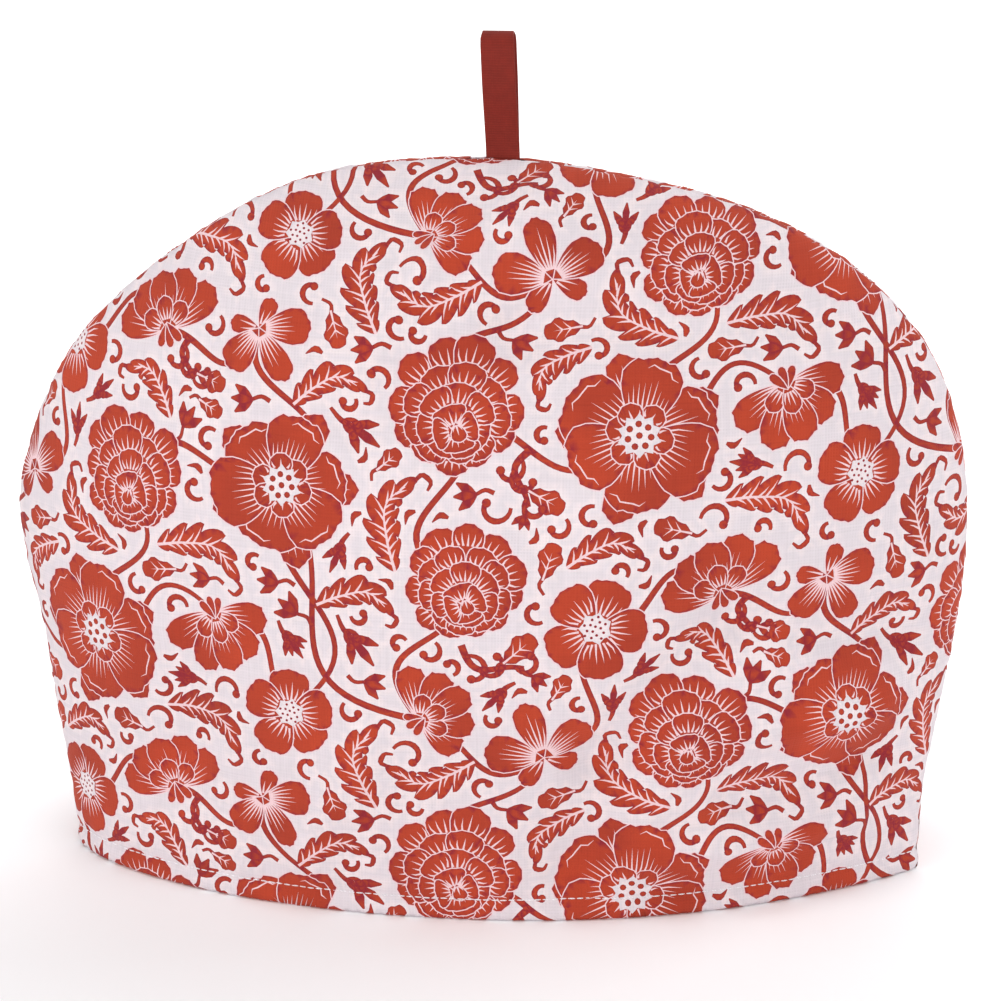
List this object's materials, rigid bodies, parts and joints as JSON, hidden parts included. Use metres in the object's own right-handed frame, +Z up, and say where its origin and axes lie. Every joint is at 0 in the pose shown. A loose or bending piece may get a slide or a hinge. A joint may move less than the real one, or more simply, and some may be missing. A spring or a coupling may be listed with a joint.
{
  "type": "tea cosy",
  "caption": "Puffed cloth dome that slips over a teapot: a front and a back panel sewn together over the top, open at the hem, with a ribbon loop in the seam.",
  "frame": {"origin": "on the surface the cosy stands on, under the middle of its box", "axes": "+X along the width, +Y from the front panel to the back panel, +Z up towards the ribbon loop"},
  "size_m": [0.35, 0.142, 0.314],
  "materials": {
    "printed_cotton": "matt plain-weave cotton, off-white with a brick-red floral print, over thin wadding",
    "ribbon": "dull ribbed ribbon, brick red"
  },
  "bodies": {
    "root": {"panel_front": "printed_cotton", "panel_back": "printed_cotton", "tab_loop": "ribbon"}
  },
  "joints": []
}
